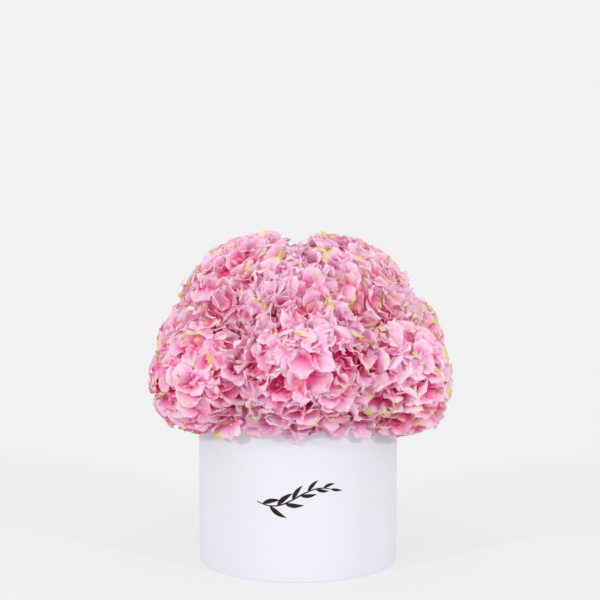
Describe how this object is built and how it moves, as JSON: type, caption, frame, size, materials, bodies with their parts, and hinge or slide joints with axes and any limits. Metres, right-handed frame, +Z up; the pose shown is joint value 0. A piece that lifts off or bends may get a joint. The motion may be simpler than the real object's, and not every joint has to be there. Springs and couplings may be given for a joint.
{
  "type": "hydrangeas in a box",
  "caption": "Round white box filled with pink hydrangea flower heads, cut stems standing in wet floral foam inside a waterproof liner.",
  "frame": {"origin": "centre of the round box's underside, on the surface that it stands on", "axes": "+Z up along the box's axis; -Y is the front, where the box's foil motif is; +X is to the right seen from the front"},
  "size_m": [0.3056, 0.3026, 0.3271],
  "materials": {
    "box_paper": "matte white wrapping paper, faint fibre texture",
    "box_board": "plain grey board, matte",
    "liner_film": "translucent film, slightly glossy",
    "foam": "fine open-celled floral foam, wet",
    "stem_bark": "green woody bark with pale flecks",
    "sepal": "soft satin petals, pink with paler veins and yellow-green tips",
    "floret_centre": "small cream buds",
    "pedicel": "thin pale green flower stalks",
    "motif_foil": "dark hot-stamped foil"
  },
  "bodies": {
    "root": {"box_wall": "box_paper", "box_base": "box_board", "liner": "liner_film", "floral_foam": "foam", "stem_front": "stem_bark", "stem_front_left": "stem_bark", "stem_back_left": "stem_bark", "stem_back": "stem_bark", "stem_back_right": "stem_bark", "stem_front_right": "stem_bark", "stem_crown_left": "stem_bark", "stem_crown_right": "stem_bark", "stem_crown_front": "stem_bark", "head_front": "sepal", "head_front_left": "sepal", "head_back_left": "sepal", "head_back": "sepal", "head_back_right": "sepal", "head_front_right": "sepal", "head_crown_left": "sepal", "head_crown_right": "sepal", "head_crown_front": "sepal"}
  },
  "joints": []
}
